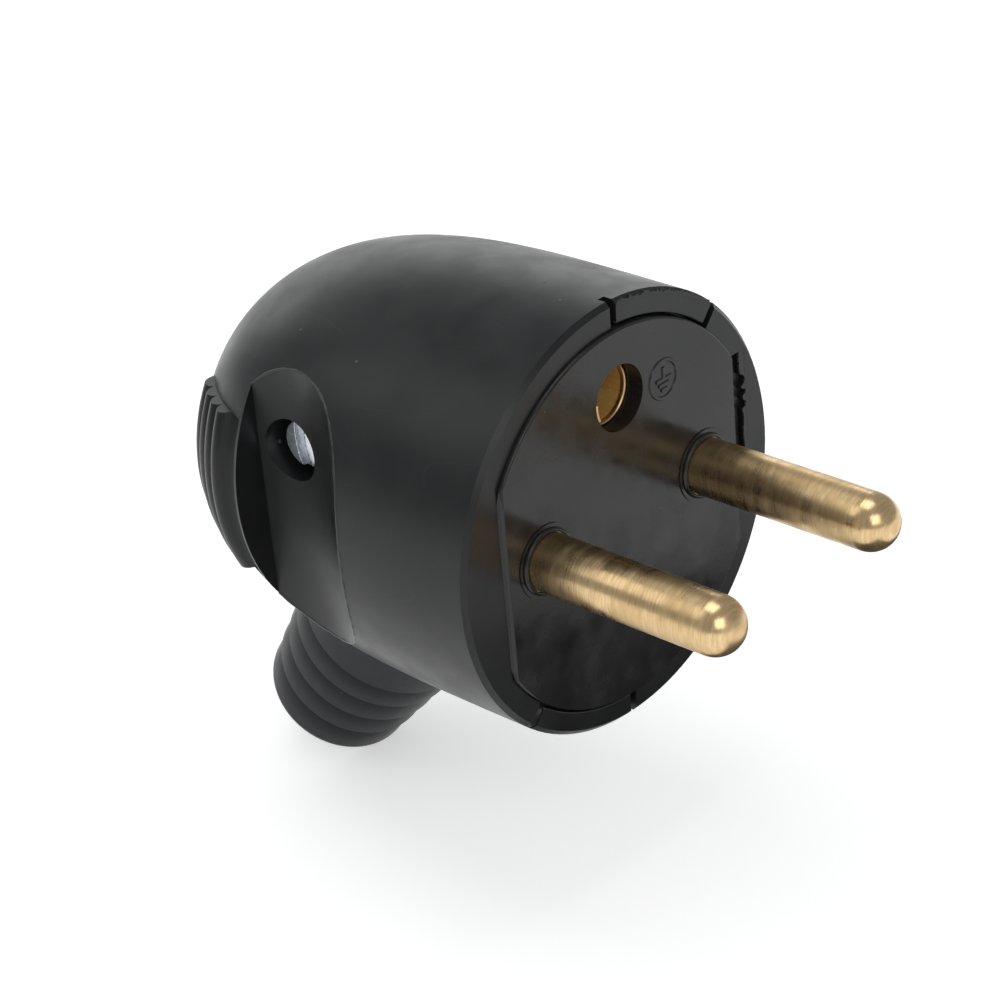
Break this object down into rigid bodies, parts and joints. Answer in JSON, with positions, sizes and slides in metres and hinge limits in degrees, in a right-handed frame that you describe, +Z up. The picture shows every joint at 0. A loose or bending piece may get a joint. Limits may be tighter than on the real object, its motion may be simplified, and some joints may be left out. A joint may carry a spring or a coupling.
{
  "type": "side-entry plug",
  "caption": "Round black mains plug with brass pins, an earth socket in its face, scooped and ribbed flanks, and a ribbed cable bush that leaves below at a slant.",
  "frame": {"origin": "Midway between the two pins, on the plane where their collars end, 0.2 mm in front of the plate's face.", "axes": "-Y is the way the pins point and the way the plug goes in. +Z is up, from the line of the pins towards the earth socket, and the cable leaves below. +X is to the right as seen from the front."},
  "size_m": [0.0366, 0.0606, 0.0513],
  "materials": {
    "housing": "satin black moulding",
    "carrier": "satin black moulding",
    "bush": "smooth black rubber",
    "pins": "turned and polished",
    "contact": "rolled sheet",
    "screws": "zinc plated"
  },
  "bodies": {
    "root": {"housing": "housing", "pin_carrier": "carrier", "pin_left": "pins", "pin_right": "pins", "pin_screw_left": "screws", "pin_screw_right": "screws", "earth_contact": "contact", "earth_washer": "contact", "earth_screw": "screws", "earth_nut": "screws", "cord_clamp": "carrier", "clamp_screw_left": "screws", "clamp_screw_right": "screws", "cable_bush": "bush", "fixing_screw_left": "screws", "fixing_screw_right": "screws", "fixing_nut_left": "screws", "fixing_nut_right": "screws"}
  },
  "joints": []
}
